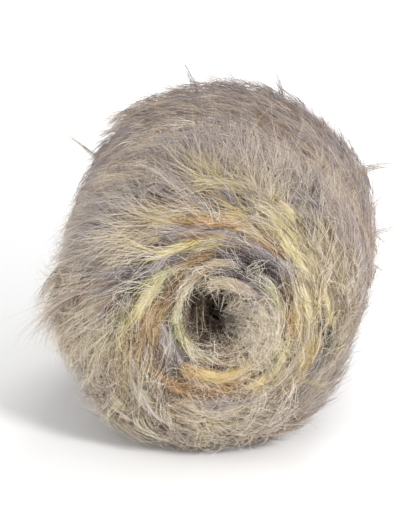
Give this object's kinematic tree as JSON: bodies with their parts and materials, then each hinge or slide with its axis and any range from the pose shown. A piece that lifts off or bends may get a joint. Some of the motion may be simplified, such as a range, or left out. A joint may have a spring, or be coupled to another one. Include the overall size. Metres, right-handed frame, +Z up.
{
  "type": "fur yarn ball",
  "caption": "Wound ball of brushed fur yarn lying on its side, with a tunnel along its middle from which the yarn is pulled.",
  "frame": {"origin": "on the surface that the ball lies on, under the middle of the ball's box", "axes": "+Z up, +Y along the ball's winding axis from its front end to its rear end, +X to the right of a viewer who faces the front end"},
  "size_m": [0.0918, 0.1198, 0.0868],
  "materials": {
    "yarn": "brushed pile, dyed along the yarn from taupe and slate through cream and yellow to tan"
  },
  "bodies": {
    "root": {"wound_ball": "yarn"}
  },
  "joints": []
}
